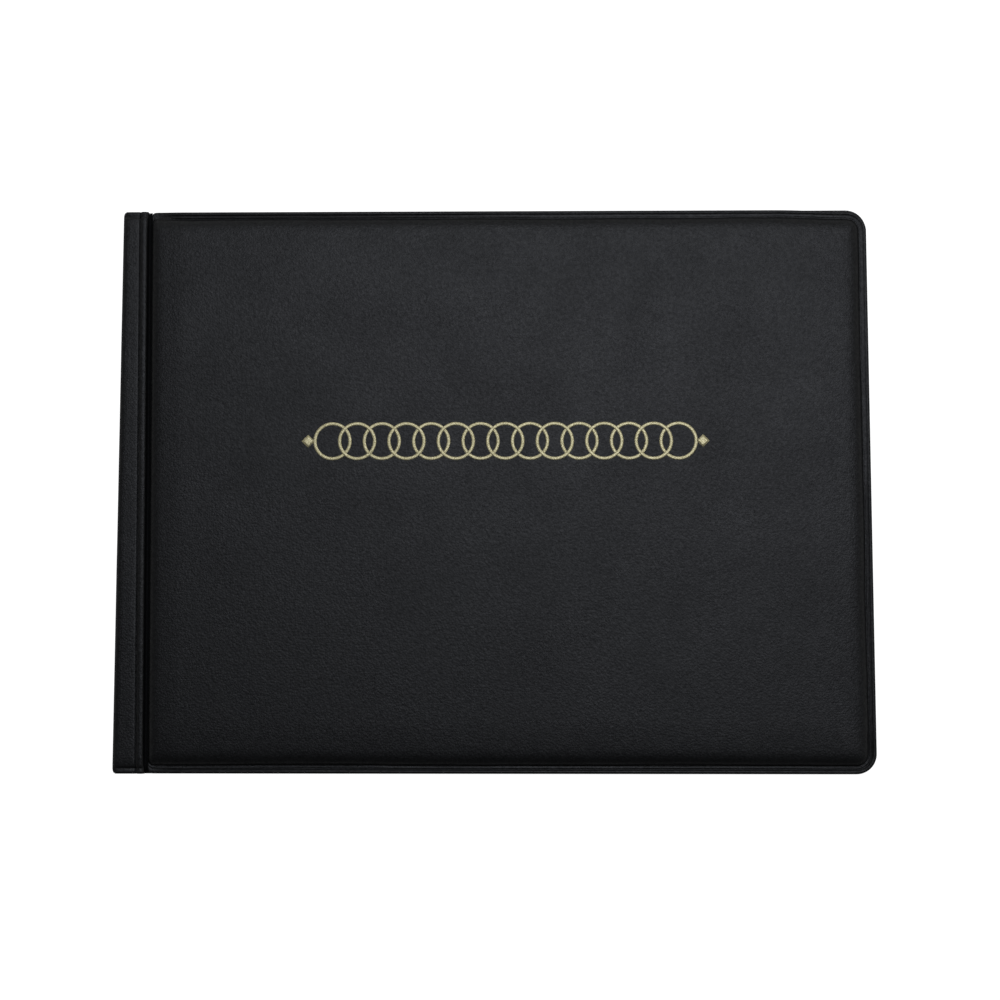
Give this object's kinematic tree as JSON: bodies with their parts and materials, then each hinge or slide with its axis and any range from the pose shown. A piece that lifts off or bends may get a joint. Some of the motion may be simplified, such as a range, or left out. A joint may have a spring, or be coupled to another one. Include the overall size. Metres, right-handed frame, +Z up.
{
  "type": "coin album",
  "caption": "Landscape album in padded black leatherette covers, with hinged pages of clear coin pockets and a foil ring band on the front.",
  "frame": {"origin": "middle of the footprint, on the surface the album lies on", "axes": "+Z up out of the front cover; +Y towards the head of the album, along the spine; +X from the spine to the free edge"},
  "size_m": [0.26, 0.195, 0.0201],
  "materials": {
    "leatherette": "fine-grained black PVC leatherette, semi-matte",
    "lining": "smooth matte black PVC sheet",
    "foam": "off-white polyurethane foam",
    "greyboard": "grey bookbinding board",
    "page_sheet": "matte black PVC sheet",
    "clear_film": "clear glossy PVC film",
    "gold_foil": "hot-stamped pale gold foil"
  },
  "bodies": {
    "back_cover": {"back_skin": "leatherette", "back_foam": "foam", "back_board": "greyboard", "back_lining": "lining"},
    "spine": {"spine_skin": "leatherette", "spine_board": "greyboard", "front_strip_board": "greyboard", "back_strip_board": "greyboard", "binding_block": "page_sheet", "front_gutter_film": "leatherette", "back_gutter_film": "leatherette", "page_01_stub": "page_sheet", "page_02_stub": "page_sheet", "page_03_stub": "page_sheet", "page_04_stub": "page_sheet", "page_05_stub": "page_sheet", "page_06_stub": "page_sheet", "page_07_stub": "page_sheet", "page_08_stub": "page_sheet", "page_09_stub": "page_sheet", "page_10_stub": "page_sheet"},
    "front_cover": {"front_skin": "leatherette", "front_foam": "foam", "front_board": "greyboard", "front_lining": "lining", "cover_ornament": "gold_foil"},
    "page_01": {"page_01_sheet": "page_sheet", "page_01_pockets": "clear_film"},
    "page_02": {"page_02_sheet": "page_sheet", "page_02_pockets": "clear_film"},
    "page_03": {"page_03_sheet": "page_sheet", "page_03_pockets": "clear_film"},
    "page_04": {"page_04_sheet": "page_sheet", "page_04_pockets": "clear_film"},
    "page_05": {"page_05_sheet": "page_sheet", "page_05_pockets": "clear_film"},
    "page_06": {"page_06_sheet": "page_sheet", "page_06_pockets": "clear_film"},
    "page_07": {"page_07_sheet": "page_sheet", "page_07_pockets": "clear_film"},
    "page_08": {"page_08_sheet": "page_sheet", "page_08_pockets": "clear_film"},
    "page_09": {"page_09_sheet": "page_sheet", "page_09_pockets": "clear_film"},
    "page_10": {"page_10_sheet": "page_sheet", "page_10_pockets": "clear_film"}
  },
  "joints": [
    {"name": "back_cover_hinge", "type": "hinge", "parent": "back_cover", "child": "spine", "pos_m": [-0.1193, 0, 0.0009], "axis": [0, -1, 0], "range_deg": [0, 172]},
    {"name": "front_cover_hinge", "type": "hinge", "parent": "spine", "child": "front_cover", "pos_m": [-0.1193, 0, 0.0191], "axis": [0, -1, 0], "range_deg": [0, 172]},
    {"name": "page_01_hinge", "type": "hinge", "parent": "spine", "child": "page_01", "pos_m": [-0.1125, 0, 0.0146], "axis": [0, -1, 0], "range_deg": [0, 121]},
    {"name": "page_02_hinge", "type": "hinge", "parent": "spine", "child": "page_02", "pos_m": [-0.1113, 0, 0.0135], "axis": [0, -1, 0], "range_deg": [0, 107]},
    {"name": "page_03_hinge", "type": "hinge", "parent": "spine", "child": "page_03", "pos_m": [-0.1101, 0, 0.0124], "axis": [0, -1, 0], "range_deg": [0, 93]},
    {"name": "page_04_hinge", "type": "hinge", "parent": "spine", "child": "page_04", "pos_m": [-0.1089, 0, 0.0113], "axis": [0, -1, 0], "range_deg": [0, 80]},
    {"name": "page_05_hinge", "type": "hinge", "parent": "spine", "child": "page_05", "pos_m": [-0.1077, 0, 0.0102], "axis": [0, -1, 0], "range_deg": [0, 66]},
    {"name": "page_06_hinge", "type": "hinge", "parent": "spine", "child": "page_06", "pos_m": [-0.1077, 0, 0.0091], "axis": [0, -1, 0], "range_deg": [-66, 0]},
    {"name": "page_07_hinge", "type": "hinge", "parent": "spine", "child": "page_07", "pos_m": [-0.1089, 0, 0.008], "axis": [0, -1, 0], "range_deg": [-80, 0]},
    {"name": "page_08_hinge", "type": "hinge", "parent": "spine", "child": "page_08", "pos_m": [-0.1101, 0, 0.0069], "axis": [0, -1, 0], "range_deg": [-93, 0]},
    {"name": "page_09_hinge", "type": "hinge", "parent": "spine", "child": "page_09", "pos_m": [-0.1113, 0, 0.0058], "axis": [0, -1, 0], "range_deg": [-107, 0]},
    {"name": "page_10_hinge", "type": "hinge", "parent": "spine", "child": "page_10", "pos_m": [-0.1125, 0, 0.0047], "axis": [0, -1, 0], "range_deg": [-121, 0]}
  ],
  "couplings": [
    {"joint": "page_01_hinge", "follows": "front_cover_hinge", "ratio": 0.7},
    {"joint": "page_02_hinge", "follows": "front_cover_hinge", "ratio": 0.62},
    {"joint": "page_03_hinge", "follows": "front_cover_hinge", "ratio": 0.54},
    {"joint": "page_04_hinge", "follows": "front_cover_hinge", "ratio": 0.46},
    {"joint": "page_05_hinge", "follows": "front_cover_hinge", "ratio": 0.38},
    {"joint": "page_06_hinge", "follows": "back_cover_hinge", "ratio": -0.38},
    {"joint": "page_07_hinge", "follows": "back_cover_hinge", "ratio": -0.46},
    {"joint": "page_08_hinge", "follows": "back_cover_hinge", "ratio": -0.54},
    {"joint": "page_09_hinge", "follows": "back_cover_hinge", "ratio": -0.62},
    {"joint": "page_10_hinge", "follows": "back_cover_hinge", "ratio": -0.7}
  ]
}
